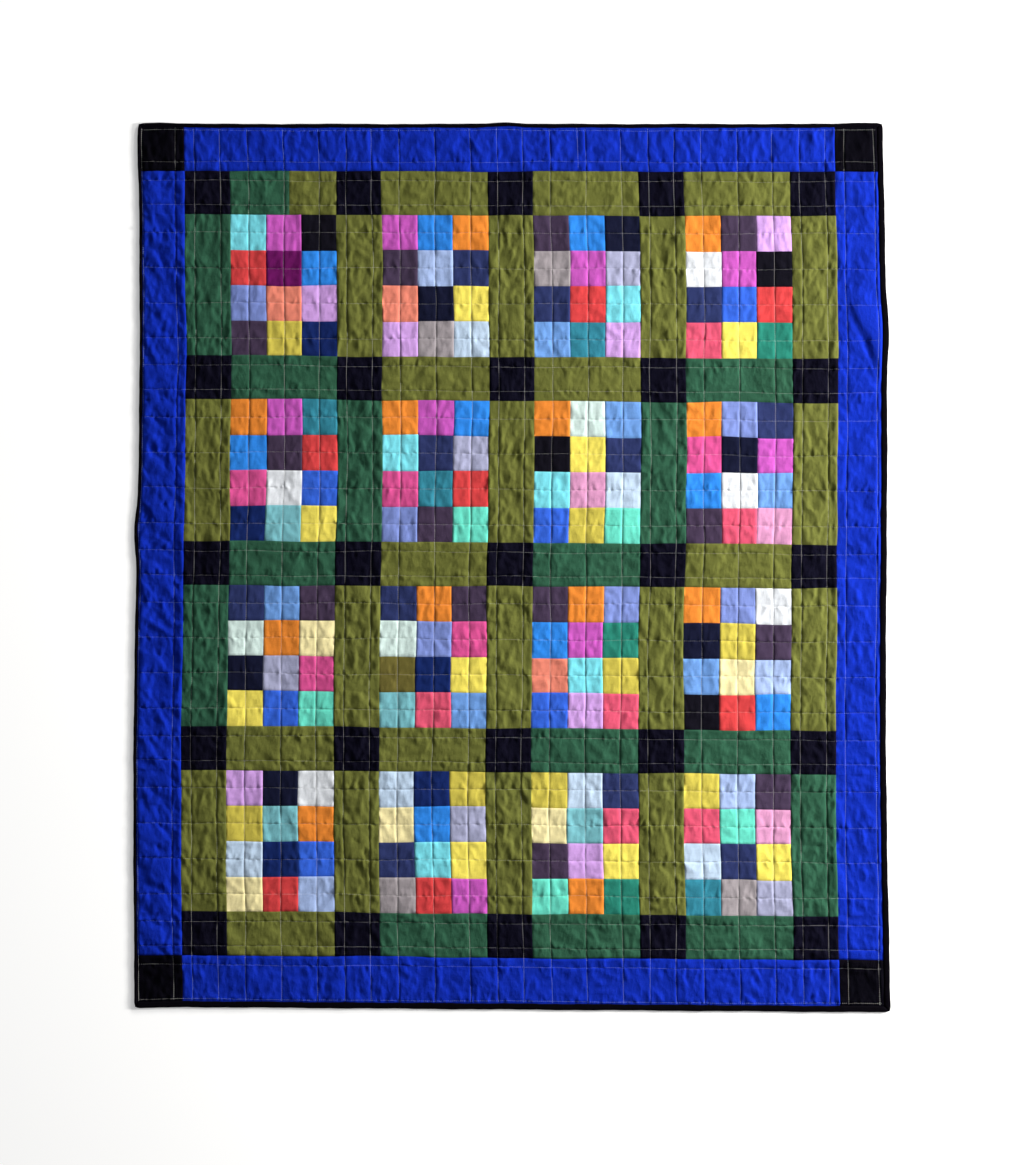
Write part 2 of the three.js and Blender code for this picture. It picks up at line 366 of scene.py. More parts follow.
# soft folds in the cells, and thin creases that come and go along the zero lines of a noise
SOFT = 0.45 * turned_noise(16, 1.9, LEAN, 300) + 0.13 * turned_noise(7, 1.6, LEAN, 400)
SOFT += 0.60 * soft_noise(48, 500)
SOFT += 0.55 * np.exp(-((turned_noise(24, 2.0, LEAN, 600) / 0.2) ** 2)) * np.clip(soft_noise(22, 651) - 0.35, 0, 2)
SOFT += 0.9 * folds(1500, 92)
# long slanting folds down the left side of the border
SOFT += 0.8 * folds(75, 93, (IN_U[0] + 5, -LAT_W / 2 - 6), (-LAT_H / 2, LAT_H / 2), tilts=(-52,), size=1.9)
SOFT = kept_within(SOFT * LIVELY * (1.12 + 0.2 * BORDER_ONLY), 3.0)
PUFF, SWELL = soft_noise(60, 41), soft_noise(130, 42)
# a level row is drawn in unevenly from one stitch to the next
DRAWN = np.clip(1 + 0.75 * soft_noise(4.5, 43), 0.1, 2.2)


def groove(d):
    """1 on a row, down to 0 a few millimetres off."""
    return np.exp(-((d / 1.5) ** 1.3))


def crown(d, half):
    """0 on a row, up to 1 midway to the next."""
    return 1 - (1 - np.clip(d / half, 0, 1)) ** 2


def off_line(c, u, v):
    """How far along a line each point is, from 0 to 1, and how far off it across and up."""
    du, dv = c["u1"] - c["u0"], c["v1"] - c["v0"]
    t = np.clip(((u - c["u0"]) * du + (v - c["v0"]) * dv) / (du * du + dv * dv), 0, 1)
    return t, u - c["u0"] - t * du, v - c["v0"] - t * dv


def crease(u, v):
    z = 0.0
    for c in CREASES:
        t, a, b = off_line(c, u, v)
        half = np.where(a > 0, c["right"], c["left"])
        ends = np.sin(math.pi * np.clip(t, 0.02, 0.98)) ** 0.6
        far = (a * a + b * b) / half**2
        sides = np.clip(1.1 - np.sqrt(far + 0.01), 0, 1) if c.get("straight") else np.exp(-far)
        z = z + c["high"] * ends * sides
    return z


def seam_relief(x, y, seams, crossing, per_block, cross_per_block, sides, outer, seed):
    """Ditch and pressed allowance of every seam across x, only over the stretch of y that it is
    sewn for: those in the border along the whole side, a strip's along the lattice, and a
    square's inside its block. sides and outer are the side that the border's allowances are
    pressed to and their lift, depth and half width. An array (len(y), len(x))."""
    r = np.random.default_rng(seed)
    out = np.zeros((len(y), len(x)))

    def between(low, high):
        return np.clip((y - low) / 1.0 + 0.5, 0, 1) * np.clip((high - y) / 1.0 + 0.5, 0, 1)

    blocks = [(crossing[b * (cross_per_block + 1) + 1], crossing[(b + 1) * (cross_per_block + 1)]) for b in range(4)]
    for k, s in enumerate(seams):
        spot = k % (per_block + 1)
        if k in (0, len(seams) - 1):
            spans = [(sides[0 if k == 0 else 1], -9e3, 9e3)]
        elif spot in (0, 1):
            spans = [((1 if spot == 0 else -1), crossing[0], crossing[-1])]
        else:
            spans = [((1 if r.random() < 0.5 else -1), low, high) for low, high in blocks]
        for side, low, high in spans:
            d = (x - s) * side
            step = np.where((d > 0) & (d < 12), np.clip(d / 1.1, 0, 1) * np.clip((9.0 - d) / 2.6, 0, 1), 0)
            lift, ditch, wide = 0.38, 0.6, 1.0
            if k in (0, len(seams) - 1):
                lift, ditch, wide = outer
            line = lift * step - ditch * np.exp(-((d / wide) ** 2))
            out += between(low, high)[:, None] * line[None]
    return out


def top_height(u, v):
    """Height of the top over a grid of positions, (len(v), len(u))."""
    (du, hu), (dv, hv) = beside(u, HELD_U), beside(v, HELD_V)
    uu, vv = np.meshgrid(u, v)
    span = np.minimum(hu[None], hv[:, None]) * 2 / min(PATCH_W, PATCH_H)
    rise = CROWN * np.sqrt(np.clip(span, 0.05, 1.1)) * (1 + 0.25 * look_up(PUFF, uu, vv))
    drawn = DIP_LEVEL * groove(dv)[:, None] * look_up(DRAWN, uu, vv)
    z = AT_ROW + DIP * (1 - np.maximum(groove(du)[None], np.minimum(drawn, 1.15)))
    z += rise * crown(du, hu)[None] * crown(dv, hv)[:, None]
    z -= 1.1 * groove(np.abs(u - SHORT_ROW["at"]))[None] * (v > SHORT_ROW["low"])[:, None]
    on_u, on_v = np.exp(-du / 1.1)[None], np.exp(-dv / 1.1)[:, None]
    z += look_up(GATHER_LEVEL, uu, vv) * (1 - 0.35 * on_v) * (1 - 0.5 * on_u)
    z += look_up(GATHER_UPRIGHT, uu, vv) * (1 - 0.35 * on_u) * (1 - 0.5 * on_v)
    held_u, held_v = np.exp(-du / 2.5)[None], np.exp(-dv / 2.5)[:, None]
    # the folds lean a little, with the steeper side to the right
    lean = 1.1 * look_up(SOFT, uu, vv)
    _, off_a, off_b = off_line(CALM, uu, vv)
    calm = 1 - 0.85 * np.exp(-(off_a**2 + off_b**2) / CALM["half"] ** 2)
    z += look_up(SOFT, uu - lean, vv) * (1 - 0.6 * held_u) * (1 - 0.6 * held_v) * calm
    z += seam_relief(u, v, SEAMS_U, SEAMS_V, 3, 4, (-1, -1), (0.95, 0.45, 1.0), 51)
    z += seam_relief(v, u, SEAMS_V, SEAMS_U, 4, 3, (-1, 1), (0.4, 2.6, 0.75), 52).T
    free = np.clip(np.minimum(W / 2 - np.abs(uu), H / 2 - np.abs(vv)) / 40, 0, 1)
    z += 0.35 * free * np.clip(look_up(SWELL, uu, vv), -1.5, 2.5)
    z += crease(uu, vv)
    # never into the wadding's full thickness below a row, nor higher than it can puff up
    z = np.where(z < 3.0, 2.0 + np.exp(np.minimum(z - 3.0, 0)), z)
    z = np.where(z > 7.8, 9.0 - 1.2 * np.exp(-np.maximum(z - 7.8, 0) / 1.2), z)
    # down to the flat rim under the binding
    out_u = np.maximum(IN_U[0] - u, u - IN_U[1])[None]
    out_v = np.maximum(IN_V[0] - v, v - IN_V[1])[:, None]
    rim = np.clip((np.maximum(out_u, out_v) + 1.5) / 1.5, 0, 1)
    return z * (1 - rim) + 2.5 * rim


TOP_Z = top_height(U, V)
STRAY_U, STRAY_V = stray(U, V)
UU, VV = np.meshgrid(U, V)
TOP_X, TOP_Y = place(UU + STRAY_U, VV + STRAY_V)
TOP = np.dstack([TOP_X, TOP_Y, TOP_Z]) * MM


# ---------------------------------------------------------------- meshes
def mesh_object(name, points, faces, material, smooth=True):
    """faces is an (n, k) array of corners."""
    mesh = bpy.data.meshes.new(name)
    faces = np.asarray(faces, dtype=np.int32)
    n, k = faces.shape
    mesh.vertices.add(len(points))
    mesh.vertices.foreach_set("co", np.asarray(points, dtype=np.float32).ravel())
    mesh.loops.add(n * k)
    mesh.loops.foreach_set("vertex_index", faces.ravel())
    mesh.polygons.add(n)
    mesh.polygons.foreach_set("loop_start", np.arange(0, n * k, k, dtype=np.int32))
    mesh.polygons.foreach_set("loop_total", np.full(n, k, dtype=np.int32))
    mesh.polygons.foreach_set("use_smooth", np.full(n, smooth))
    mesh.update(calc_edges=True)
    mesh.validate()
    mesh.materials.append(material)
    obj = bpy.data.objects.new(name, mesh)
    SCENE.collection.objects.link(obj)
    return obj


def island(i0, i1, j0, j1, start):
    """Points and four-sided faces of one cut piece of the top, from the shared grid."""
    block = TOP[j0 : j1 + 1, i0 : i1 + 1]
    rows, cols = block.shape[:2]
    index = np.arange(rows * cols).reshape(rows, cols) + start
    quads = np.stack([index[:-1, :-1], index[:-1, 1:], index[1:, 1:], index[1:, :-1]], -1)
    return block.reshape(-1, 3), quads.reshape(-1, 4)


def cut_pieces(name, rects, material, colours=None):
    """All the pieces cut from one cloth, as one mesh of separate islands."""
    points, faces, tints, start = [], [], [], 0
    for k, (i0, i1, j0, j1) in enumerate(rects):
        p, q = island(i0, i1, j0, j1, start)
        points.append(p)
        faces.append(q)
        start += len(p)
        if colours is not None:
            tints.append(np.tile([*colours[k], 1.0], (len(p), 1)))
    obj = mesh_object(name, np.concatenate(points), np.concatenate(faces), material)
    if colours is not None:
        layer = obj.data.color_attributes.new("cloth", "FLOAT_COLOR", "POINT")
        layer.data.foreach_set("color", np.concatenate(tints).astype(np.float32).ravel())
    return obj


def at(grid, x):
    return int(np.argmin(np.abs(grid - x)))


# columns and rows of the grid at each seam, with the outer ends
CUT_U = [0, *[at(U, s) for s in SEAMS_U], len(U) - 1]
CUT_V = [0, *[at(V, s) for s in SEAMS_V], len(V) - 1]


LIT = 1.2  # a level white surface in the middle of the quilt is this bright


def srgb(r, g, b):
    """A colour as it looks in that light, 0 to 255, as the cloth's own linear colour."""
    return tuple(
        ((c / 255 / 12.92) if c / 255 <= 0.04045 else ((c / 255 + 0.055) / 1.055) ** 2.4) / LIT
        for c in (r, g, b)
    )


# ---------------------------------------------------------------- the scrap bag
# A short list of plain cottons by name. The photo's squares were each measured and grouped by
# colour, and the colours and numbers of squares come from those groups, adjusted afterwards. The
# list holds no places: which square lies where is dealt.
SCRAPS = [
    dict(name="azure", colour=(48, 138, 236), squares=9),
    dict(name="cornflower", colour=(55, 104, 225), squares=6),
    dict(name="soft blue", colour=(112, 160, 228), squares=6),
    dict(name="periwinkle", colour=(128, 146, 214), squares=6),
    dict(name="pale periwinkle", colour=(168, 190, 236), squares=5),
    dict(name="plum grey", colour=(68, 54, 78), squares=13),
    dict(name="orange", colour=(236, 138, 52), squares=12),
    dict(name="slate navy", colour=(44, 54, 102), squares=11),
    dict(name="rose", colour=(228, 88, 118), squares=6),
    dict(name="pink", colour=(222, 84, 150), squares=5),
    dict(name="pale blue", colour=(196, 218, 242), squares=6),
    dict(name="white", colour=(232, 236, 242), squares=5),
    dict(name="pale mint", colour=(218, 240, 234), squares=3),
    dict(name="mint", colour=(108, 226, 202), squares=6),
    dict(name="sky", colour=(124, 224, 238), squares=6),
    dict(name="mustard", colour=(212, 196, 82), squares=9),
    dict(name="orchid", colour=(202, 90, 192), squares=9),
    dict(name="black", colour=(9, 7, 20), squares=4),
    dict(name="midnight", colour=(15, 19, 46), squares=6),
    dict(name="silver", colour=(172, 174, 206), squares=5),
    dict(name="grey", colour=(162, 154, 158), squares=4),
    dict(name="yellow", colour=(248, 230, 100), squares=9),
    dict(name="lilac", colour=(212, 164, 234), squares=7),
    dict(name="red", colour=(218, 68, 70), squares=8),
    dict(name="teal", colour=(52, 136, 158), squares=4),
    dict(name="sea green", colour=(40, 132, 114), squares=3),
    dict(name="dusty aqua", colour=(124, 192, 202), squares=4),
    dict(name="cream", colour=(250, 236, 176), squares=5),
    dict(name="navy", colour=(16, 38, 100), squares=5),
    dict(name="blush", colour=(224, 156, 198), squares=3),
    dict(name="salmon", colour=(240, 138, 116), squares=3),
    dict(name="purple", colour=(106, 16, 94), squares=1),
    dict(name="khaki", colour=(112, 104, 50), squares=1),
]


def deal(seed):
    """Deals the squares to the 16 blocks by rule: no cloth twice in a block, no dark square beside
    another, and no cloth beside itself across a block's rows. Returns {(block col, row, c, r): k}."""
    r = np.random.default_rng(seed)
    bag = [k for k, s in enumerate(SCRAPS) for _ in range(s["squares"])]
    r.shuffle(bag)
    tone = [sum(w * c for w, c in zip((0.3, 0.59, 0.11), s["colour"])) for s in SCRAPS]
    out = {}
    for bj in range(4):
        for bi in range(4):
            used = []
            for row in range(4):
                for col in range(3):
                    near = [out.get((bi, bj, col - 1, row)), out.get((bi, bj, col, row - 1)),
                            out.get((bi, bj, col - 1, row - 1)), out.get((bi, bj, col + 1, row - 1))]
                    best, cost = None, None
                    for n, k in enumerate(bag[:26]):
                        c = 10.0 * used.count(k) + 0.02 * n
                        for m, o in enumerate(near):
                            if o is None:
                                continue
                            same = sum(abs(a - b) for a, b in zip(SCRAPS[k]["colour"], SCRAPS[o]["colour"]))
                            c += (3.0 if m < 2 else 1.2) * max(0.0, 1 - same / 130)
                            if m < 2 and tone[k] < 62 and tone[o] < 62:
                                c += 0.8
                        if cost is None or c < cost:
                            best, cost = n, c
                    k = bag.pop(best)
                    used.append(k)
                    out[(bi, bj, col, row)] = k
    return out


def rect(u_span, v_span):
    return (CUT_U[u_span], CUT_U[u_span + 1], CUT_V[v_span], CUT_V[v_span + 1])


# spans count from 0 at the left or the bottom edge: border, then lattice, three squares, lattice...
def u_of(block, col):
    return 2 + block * 4 + col


def v_of(block, row):  # block and row from the top
    return 1 + 4 * 5 - block * 5 - 1 - row


SASH_U = [1 + 4 * k for k in range(5)]  # spans that hold an upright lattice strip
SASH_V = [1 + 5 * (4 - k) for k in range(5)]  # and a level one, from the top

squares, tints = [], []
for (bi, bj, col, row), k in sorted(deal(7).items()):
    squares.append(rect(u_of(bi, col), v_of(bj, row)))
    tints.append(srgb(*SCRAPS[k]["colour"]))

# Lattice strips are olive, but for these in bottle green.
GREEN_LEVEL = [(1, 1), (1, 4), (2, 1), (2, 3), (3, 3), (3, 4), (4, 2), (4, 3), (4, 4)]  # (row, strip)
GREEN_UPRIGHT = [(0, 1), (0, 3), (1, 2), (3, 2), (4, 4)]  # (column, block row)
PIECED = (0, 1)  # this level strip is green for the first part of its length, then olive
PIECED_AT = 0.555


def joined(spans, v_span):
    return (CUT_U[spans[0]], CUT_U[spans[-1] + 1], CUT_V[v_span], CUT_V[v_span + 1])


olive, green = [], []
for row in range(5):
    for strip in range(4):
        i0, i1, j0, j1 = joined([u_of(strip, 0), u_of(strip, 2)], SASH_V[row])
        if (row, strip + 1) == PIECED:
            mid = at(U, U[i0] + (U[i1] - U[i0]) * PIECED_AT)
            green.append((i0, mid, j0, j1))
            olive.append((mid, i1, j0, j1))
            TOP[j0 : j1 + 1, mid, 2] -= 0.4 * MM
        else:
            (green if (row, strip + 1) in GREEN_LEVEL else olive).append((i0, i1, j0, j1))
for col in range(5):
    for row in range(4):
        i0, i1 = CUT_U[SASH_U[col]], CUT_U[SASH_U[col] + 1]
        j0, j1 = CUT_V[v_of(row, 3)], CUT_V[v_of(row, 0) + 1]
        (green if (col, row + 1) in GREEN_UPRIGHT else olive).append((i0, i1, j0, j1))
posts = [
    (CUT_U[a], CUT_U[a + 1], CUT_V[b], CUT_V[b + 1]) for a in SASH_U for b in SASH_V
]
last_u, last_v = len(CUT_U) - 2, len(CUT_V) - 2
borders = [
    (CUT_U[1], CUT_U[last_u], CUT_V[0], CUT_V[1]),
    (CUT_U[1], CUT_U[last_u], CUT_V[last_v], CUT_V[last_v + 1]),
    (CUT_U[0], CUT_U[1], CUT_V[1], CUT_V[last_v]),
    (CUT_U[last_u], CUT_U[last_u + 1], CUT_V[1], CUT_V[last_v]),
]
corners = [
    (CUT_U[a], CUT_U[a + 1], CUT_V[b], CUT_V[b + 1]) for a in (0, last_u) for b in (0, last_v)
]


# ---------------------------------------------------------------- materials
class Graph:
    def __init__(self, name):
        self.material = bpy.data.materials.new(name)
        self.material.use_nodes = True
        self.tree = self.material.node_tree
        self.tree.nodes.clear()
        self.out = self.node("ShaderNodeOutputMaterial")
        self.bsdf = self.node("ShaderNodeBsdfPrincipled")
        self.link(self.bsdf.outputs[0], self.out.inputs["Surface"])
        self.place = self.node("ShaderNodeTexCoord").outputs["Object"]

    def node(self, kind, **values):
        n = self.tree.nodes.new(kind)
        for k, v in values.items():
            setattr(n, k, v)
        return n

    def link(self, a, b):
        self.tree.links.new(a, b)

    def put(self, socket, value):
        if isinstance(value, bpy.types.NodeSocket):
            self.link(value, socket)
        else:
            socket.default_value = value

    def math(self, op, a, b=None, c=None):
        n = self.node("ShaderNodeMath", operation=op)
        for k, v in enumerate((a, b, c)):
            if v is not None:
                self.put(n.inputs[k], v)
        return n.outputs[0]

    def noise(self, scale, detail=2.0, rough=0.5, stretch=(1, 1, 1), shift=(0, 0, 0)):
        m = self.node("ShaderNodeMapping")
        m.inputs["Scale"].default_value = stretch
        m.inputs["Location"].default_value = shift
        self.link(self.place, m.inputs["Vector"])
        n = self.node("ShaderNodeTexNoise")
        n.inputs["Scale"].default_value = scale
        n.inputs["Detail"].default_value = detail
        n.inputs["Roughness"].default_value = rough
        self.link(m.outputs[0], n.inputs["Vector"])
        return n.outputs["Fac"]

    def blend(self, factor, a, b):
        n = self.node("ShaderNodeMix", data_type="RGBA")
        self.put(n.inputs["Factor"], factor)
        self.put(n.inputs["A"] if not hasattr(n.inputs[6], "name") else n.inputs[6], a)
        self.put(n.inputs[7], b)
        return n.outputs[2]

    def times(self, colour, value):
        n = self.node("ShaderNodeVectorMath", operation="SCALE")
        self.put(n.inputs[0], colour)
        self.put(n.inputs["Scale"], value)
        return n.outputs[0]


def cotton(name, colour=None, sheen=0.03, seed=0.0, yarn=0.42, mottle=1.0, roughness=0.9, gloss=0.08,
           crumpled=0.55):
    """Plain woven cotton. colour is linear, or None for the cloth colour of each square."""
    g = Graph(name)
    if colour is None:
        a = g.node("ShaderNodeAttribute", attribute_name="cloth")
        base = a.outputs["Color"]
    else:
        n = g.node("ShaderNodeRGB")
        n.outputs[0].default_value = (*colour, 1)
        base = n.outputs[0]
    shift = (seed, seed * 0.7, 0)
    # fading over a hand's width, soft blotches, slubs along and across, and each yarn's own tone
    broad = g.noise(9, 2, 0.5, shift=shift)
    blotch = g.noise(70, 3, 0.55, shift=shift)
    warp = g.noise(900, 2, 0.5, stretch=(1, 0.035, 1), shift=shift)
    weft = g.noise(900, 2, 0.5, stretch=(0.035, 1, 1), shift=shift)
    grain = g.noise(2600, 1, 0.5)
    tone = g.math("MULTIPLY_ADD", broad, 0.16 * mottle, 1 - 0.08 * mottle)
    tone = g.math("MULTIPLY_ADD", blotch, 0.20 * mottle, g.math("SUBTRACT", tone, 0.10 * mottle))
    tone = g.math("MULTIPLY_ADD", warp, 0.16, g.math("SUBTRACT", tone, 0.08))
    tone = g.math("MULTIPLY_ADD", weft, 0.16, g.math("SUBTRACT", tone, 0.08))
    tone = g.math("MULTIPLY_ADD", grain, 0.12, g.math("SUBTRACT", tone, 0.06))
    coloured = g.times(base, tone)
    g.link(coloured, g.bsdf.inputs["Base Color"])
    # plain weave: yarns cross over and under, yarn millimetres apart
    split = g.node("ShaderNodeSeparateXYZ")
    g.link(g.place, split.inputs[0])
    turns = math.pi / (yarn * MM)
    sx = g.math("SINE", g.math("MULTIPLY", split.outputs[0], turns))
    sy = g.math("SINE", g.math("MULTIPLY", split.outputs[1], turns))
    weave = g.math("MULTIPLY", sx, sy)
    rough = g.math("MULTIPLY_ADD", blotch, 0.10, roughness - 0.05)
    g.link(g.math("MULTIPLY_ADD", weave, -0.03, rough), g.bsdf.inputs["Roughness"])
    fine = g.node("ShaderNodeBump")
    fine.inputs["Strength"].default_value = 1.0
    fine.inputs["Distance"].default_value = 0.045 * MM
    g.link(g.math("ADD", weave, g.math("MULTIPLY", grain, 0.8)), fine.inputs["Height"])
    crumple = g.node("ShaderNodeBump")
    crumple.inputs["Strength"].default_value = 1.0
    crumple.inputs["Distance"].default_value = crumpled * MM
    g.link(g.noise(150, 3, 0.55, stretch=(1.3, 0.8, 1), shift=shift), crumple.inputs["Height"])
    g.link(crumple.outputs[0], fine.inputs["Normal"])
    g.link(fine.outputs[0], g.bsdf.inputs["Normal"])
    g.bsdf.inputs["Sheen Weight"].default_value = sheen
    g.bsdf.inputs["Sheen Roughness"].default_value = 0.45
    g.bsdf.inputs["Specular IOR Level"].default_value = gloss
    return g.material


def thread(name):
    """Ecru thread, coloured per stitch. On the blue border the stitches carry a painted pale blue tint that stands in
    for the blue light the cloth around them reflects onto them.
    """
    g = Graph(name)
    n = g.node("ShaderNodeAttribute", attribute_name="cloth")
    tone = g.math("MULTIPLY_ADD", g.noise(400, 2, 0.5), 0.3, 0.85)
    g.link(g.times(n.outputs["Color"], tone), g.bsdf.inputs["Base Color"])
    ply = g.node("ShaderNodeTexWave", wave_type="BANDS", bands_direction="DIAGONAL")
    ply.inputs["Scale"].default_value = 900.0
    ply.inputs["Distortion"].default_value = 1.0
    g.link(g.place, ply.inputs["Vector"])
    bump = g.node("ShaderNodeBump")
    bump.inputs["Distance"].default_value = 0.06 * MM
    g.link(ply.outputs["Fac"], bump.inputs["Height"])
    g.link(bump.outputs[0], g.bsdf.inputs["Normal"])
    g.link(g.math("MULTIPLY_ADD", g.noise(900, 2, 0.5), 0.2, 0.55), g.bsdf.inputs["Roughness"])
    g.bsdf.inputs["Sheen Weight"].default_value = 0.2
    return g.material


COTTON_SCRAPS = cotton("cotton_scraps", None, seed=1.3)
COTTON_OLIVE = cotton("cotton_olive", srgb(105, 109, 50), seed=2.1, mottle=1.6, crumpled=1.0)
COTTON_GREEN = cotton("cotton_green", srgb(45, 90, 68), seed=3.7, mottle=1.6, crumpled=1.0)
COTTON_BLUE = cotton("cotton_blue", srgb(11, 43, 175), sheen=0.02, gloss=0.06, seed=4.2, mottle=1.4, crumpled=1.0)
COTTON_NAVY = cotton("cotton_navy", srgb(11, 10, 26), sheen=0.0, gloss=0.03, seed=5.9, roughness=0.8, crumpled=1.2)
COTTON_BLACK = cotton("cotton_black", srgb(7, 6, 14), sheen=0.0, gloss=0.02, seed=6.4, roughness=0.8, crumpled=1.2)
COTTON_BINDING = cotton("cotton_binding", srgb(8, 6, 12), sheen=0.0, gloss=0.02, seed=7.7)
COTTON_BACK = cotton("cotton_back", srgb(22, 24, 46), seed=8.8)
THREAD = thread("ecru_thread")
# ECRU is the thread's own colour. The second colour is ecru with a painted blue reflection: the blue light that the
# blue cloth bounces onto the stitches.
ECRU, ECRU_PAINTED_BLUE_REFLECTION = srgb(248, 246, 242), srgb(170, 200, 252)

# ---------------------------------------------------------------- the pieced top
made = []


def add(obj, node):
    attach(obj, "root")
    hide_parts(node)
    made.append(obj)
    return obj


for name, first in (("scrap_squares_upper", True), ("scrap_squares_lower", False)):
    some = [k for k, q in enumerate(squares) if (q[2] >= at(V, 0.0) - 8) == first]
    add(cut_pieces(name, [squares[k] for k in some], COTTON_SCRAPS, [tints[k] for k in some]),
        "quilted_body")
add(cut_pieces("lattice_olive", olive, COTTON_OLIVE), "quilted_body")
add(cut_pieces("lattice_green", green, COTTON_GREEN), "quilted_body")
add(cut_pieces("lattice_posts", posts, COTTON_NAVY), "quilted_body")
add(cut_pieces("border_strips", borders, COTTON_BLUE), "quilted_body")
add(cut_pieces("border_corners", corners, COTTON_BLACK), "quilted_body")

# ---------------------------------------------------------------- the backing
NEAR_BACK = {"row": (2.2,), "held": (2.2,), "edge": ()}
OUT = 2.0
back_u = stations(EDGE["left"] + OUT, EDGE["right"] - OUT, [(p, "row") for p in HELD_U], 11.0, NEAR_BACK)
back_v = stations(EDGE["bottom"] + OUT, EDGE["top"] - OUT, [(p, "row") for p in HELD_V], 11.0, NEAR_BACK)
back_su = np.zeros((len(back_v), len(back_u)))


def interpolated(field, u, v):
    """A field known on the top's grid, at other positions."""
    fu, fv = np.interp(u, U, np.arange(len(U))), np.interp(v, V, np.arange(len(V)))
    i, j = np.clip(fu.astype(int), 0, len(U) - 2), np.clip(fv.astype(int), 0, len(V) - 2)
    a, b = (fu - i)[None], (fv - j)[:, None]
    f00, f10 = field[np.ix_(j, i)], field[np.ix_(j, i + 1)]
    f01, f11 = field[np.ix_(j + 1, i)], field[np.ix_(j + 1, i + 1)]
    return f00 * (1 - a) * (1 - b) + f10 * a * (1 - b) + f01 * (1 - a) * b + f11 * a * b


buu, bvv = np.meshgrid(back_u, back_v)
bdu, bdv = beside(back_u, HELD_U)[0][None], beside(back_v, HELD_V)[0][:, None]
back_z = 1.15 * np.maximum(np.exp(-((bdu / 2.4) ** 1.2)), np.exp(-((bdv / 2.4) ** 1.2)))
rim_u = np.maximum(IN_U[0] - back_u, back_u - IN_U[1])[None]
rim_v = np.maximum(IN_V[0] - back_v, back_v - IN_V[1])[:, None]
back_z = np.where(np.maximum(rim_u, rim_v) > -0.5, 1.2, back_z)
bx, by = place(buu + interpolated(STRAY_U, back_u, back_v), bvv + interpolated(STRAY_V, back_u, back_v))
back_points = np.dstack([bx, by, back_z]).reshape(-1, 3) * MM
index = np.arange(len(back_v) * len(back_u)).reshape(len(back_v), len(back_u))
back_faces = np.stack([index[:-1, :-1], index[1:, :-1], index[1:, 1:], index[:-1, 1:]], -1).reshape(-1, 4)
add(mesh_object("backing", back_points, back_faces, COTTON_BACK), "quilted_body")


# ---------------------------------------------------------------- the binding
TRIM = dict(left=1.8, right=0.0, top=0.9, bottom=0.9)  # its outer edge is drawn in this much


def ripple(along, seed, parts):
    r = np.random.default_rng(seed)
    return sum(a * np.sin(2 * math.pi * along / w + r.uniform(0, 6.28)) for w, a in parts)


